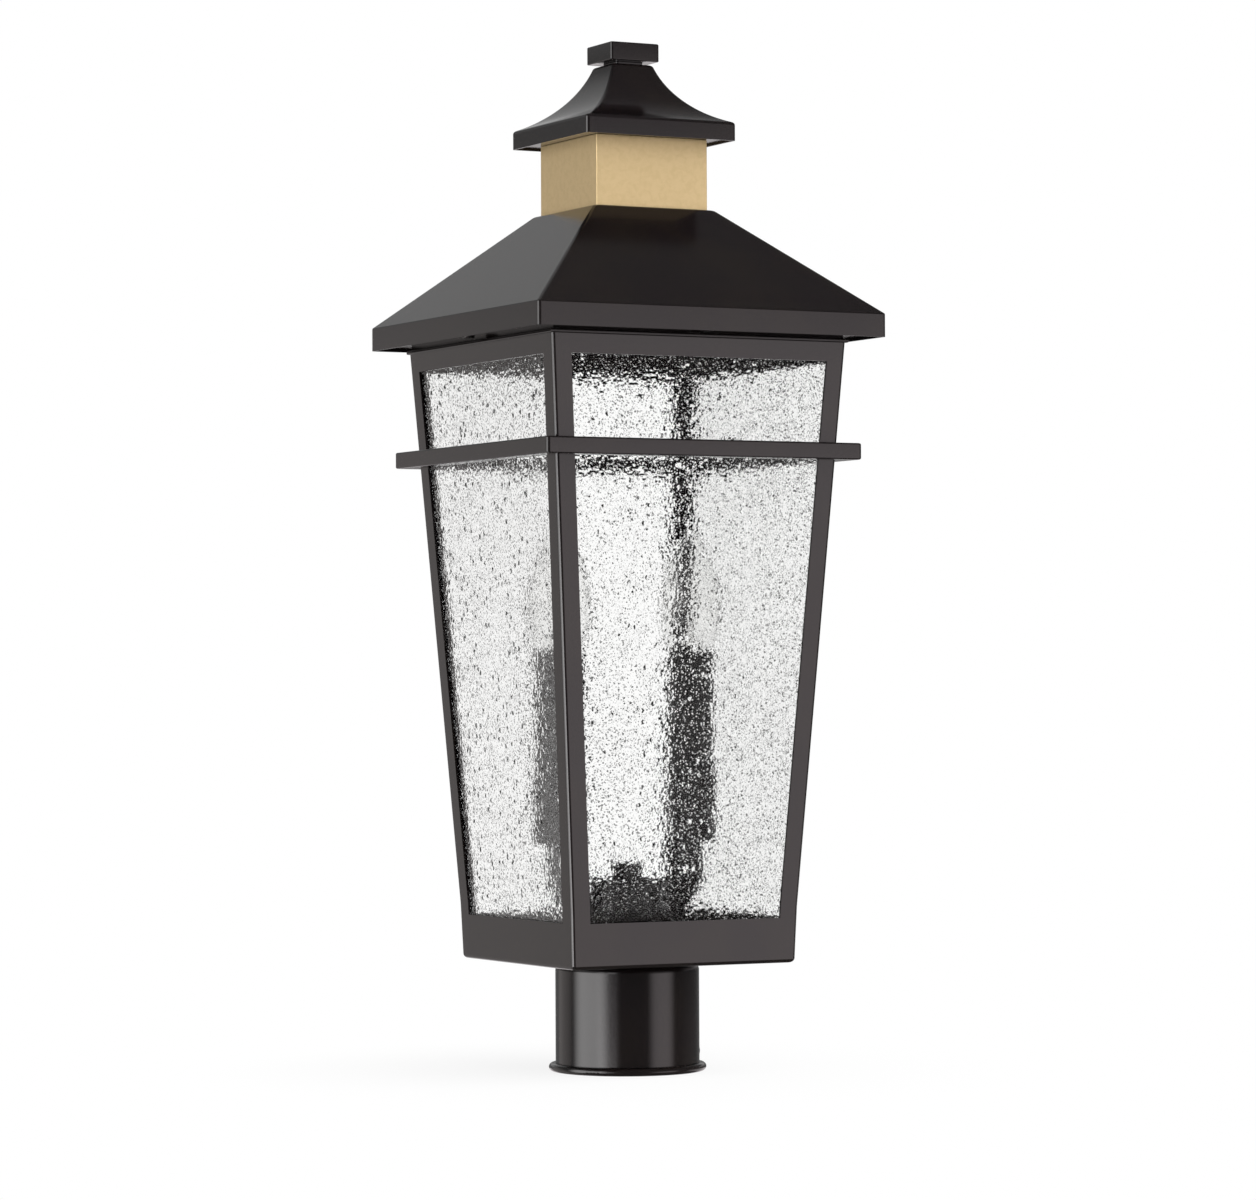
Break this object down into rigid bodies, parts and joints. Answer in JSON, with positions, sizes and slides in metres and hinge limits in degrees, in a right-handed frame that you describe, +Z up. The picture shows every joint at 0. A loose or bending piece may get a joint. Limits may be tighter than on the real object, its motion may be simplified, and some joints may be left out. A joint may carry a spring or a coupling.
{
  "type": "post top lantern",
  "caption": "Square tapered outdoor post lantern with seeded glass panes, hipped roof, brass neck, swept cap roof and candle lamps, on a round tube post fitter.",
  "frame": {"origin": "on the lantern's axis, at the bottom of the fitter's rolled lip, where the post goes in", "axes": "+Z up along the axis towards the finial, front face of the cage towards -Y, +X to the right"},
  "size_m": [0.2198, 0.2198, 0.5893],
  "materials": {
    "bronze_paint": "satin black-bronze powder coat on steel",
    "satin_brass": "fine-grained satin brass finish",
    "seeded_glass": "clear seeded glass with a fine rain texture",
    "screw_steel": "zinc-plated steel",
    "gasket_rubber": "closed-cell rubber",
    "ground_green": "green-dyed zinc plate",
    "contact_brass": "bare brass",
    "candle_black": "satin black sleeve",
    "socket_plastic": "moulded thermoset",
    "wire_black": "insulated wire",
    "bulb_cap": "rolled brass lamp cap",
    "clear_glass": "clear blown glass",
    "filament_metal": "lamp stem, supports and filament"
  },
  "bodies": {
    "lantern": {"post_fitter": "bronze_paint", "base_pan": "bronze_paint", "mid_band": "bronze_paint", "soffit_plate": "bronze_paint", "hub_pedestal": "bronze_paint", "hub_cup": "bronze_paint", "hub_cap_nut": "bronze_paint", "corner_post_front_right": "bronze_paint", "corner_post_back_right": "bronze_paint", "corner_post_back_left": "bronze_paint", "corner_post_front_left": "bronze_paint", "top_rail_front": "bronze_paint", "glass_pane_front": "seeded_glass", "top_rail_right": "bronze_paint", "glass_pane_right": "seeded_glass", "top_rail_back": "bronze_paint", "glass_pane_back": "seeded_glass", "top_rail_left": "bronze_paint", "glass_pane_left": "seeded_glass", "fitter_washer": "screw_steel", "fitter_locknut": "screw_steel", "center_nipple": "screw_steel", "glass_clips": "screw_steel", "arm_nipples": "screw_steel", "socket_holders": "screw_steel", "fitter_gasket": "gasket_rubber", "ground_screw": "ground_green", "socket_contacts": "contact_brass", "arm_left": "bronze_paint", "candle_cup_left": "bronze_paint", "candle_sleeve_left": "candle_black", "socket_body_left": "socket_plastic", "socket_shell_left": "contact_brass", "lead_left": "wire_black", "arm_right": "bronze_paint", "candle_cup_right": "bronze_paint", "candle_sleeve_right": "candle_black", "socket_body_right": "socket_plastic", "socket_shell_right": "contact_brass", "lead_right": "wire_black"},
    "roof": {"main_roof": "bronze_paint", "brass_neck": "satin_brass", "cap_roof": "bronze_paint", "cap_plate": "bronze_paint", "finial": "bronze_paint", "roof_rod": "screw_steel", "rod_nut": "screw_steel", "roof_brackets": "screw_steel"},
    "roof_screw_front": {"roof_screw_front": "screw_steel"},
    "roof_screw_right": {"roof_screw_right": "screw_steel"},
    "roof_screw_back": {"roof_screw_back": "screw_steel"},
    "roof_screw_left": {"roof_screw_left": "screw_steel"},
    "set_screw_right": {"set_screw_right": "screw_steel"},
    "set_screw_back": {"set_screw_back": "screw_steel"},
    "bulb_left": {"bulb_base_left": "bulb_cap", "bulb_glass_left": "clear_glass", "bulb_mount_left": "filament_metal"},
    "bulb_right": {"bulb_base_right": "bulb_cap", "bulb_glass_right": "clear_glass", "bulb_mount_right": "filament_metal"}
  },
  "joints": [
    {"name": "roof_lift", "type": "slide", "parent": "lantern", "child": "roof", "axis": [0, 0, 1], "range_m": [0, 0.2]},
    {"name": "roof_screw_front_draw", "type": "slide", "parent": "lantern", "child": "roof_screw_front", "axis": [0, 0, -1], "range_m": [0, 0.01]},
    {"name": "roof_screw_right_draw", "type": "slide", "parent": "lantern", "child": "roof_screw_right", "axis": [0, 0, -1], "range_m": [0, 0.01]},
    {"name": "roof_screw_back_draw", "type": "slide", "parent": "lantern", "child": "roof_screw_back", "axis": [0, 0, -1], "range_m": [0, 0.01]},
    {"name": "roof_screw_left_draw", "type": "slide", "parent": "lantern", "child": "roof_screw_left", "axis": [0, 0, -1], "range_m": [0, 0.01]},
    {"name": "set_screw_right_drive", "type": "slide", "parent": "lantern", "child": "set_screw_right", "axis": [-1, 0, 0], "range_m": [0, 0.0019]},
    {"name": "set_screw_back_drive", "type": "slide", "parent": "lantern", "child": "set_screw_back", "axis": [0, -1, 0], "range_m": [0, 0.0019]},
    {"name": "bulb_left_draw", "type": "slide", "parent": "lantern", "child": "bulb_left", "axis": [0, 0, 1], "range_m": [0, 0.045]},
    {"name": "bulb_right_draw", "type": "slide", "parent": "lantern", "child": "bulb_right", "axis": [0, 0, 1], "range_m": [0, 0.045]}
  ]
}
